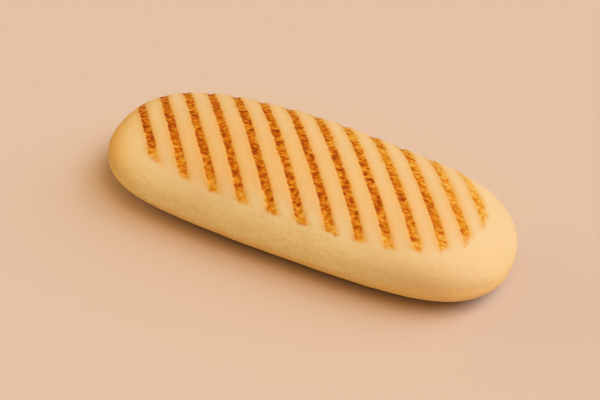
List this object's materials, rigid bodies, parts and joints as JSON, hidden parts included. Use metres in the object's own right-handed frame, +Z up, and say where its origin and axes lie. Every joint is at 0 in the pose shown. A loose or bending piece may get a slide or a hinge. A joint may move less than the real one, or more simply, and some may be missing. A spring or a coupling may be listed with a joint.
{
  "type": "bread roll",
  "caption": "Long oval bread roll with a low crown and a small flat foot, pressed with slanted parallel grill grooves across the top.",
  "frame": {"origin": "centre of the bottom of the roll's bounding box, on the flat spot that the roll rests on", "axes": "+X along the roll, +Y across it, +Z up; the grill grooves run towards -X as they go towards +Y"},
  "size_m": [0.22, 0.0828, 0.0468],
  "materials": {
    "crust": "matte"
  },
  "bodies": {
    "root": {"bread_roll": "crust"}
  },
  "joints": []
}
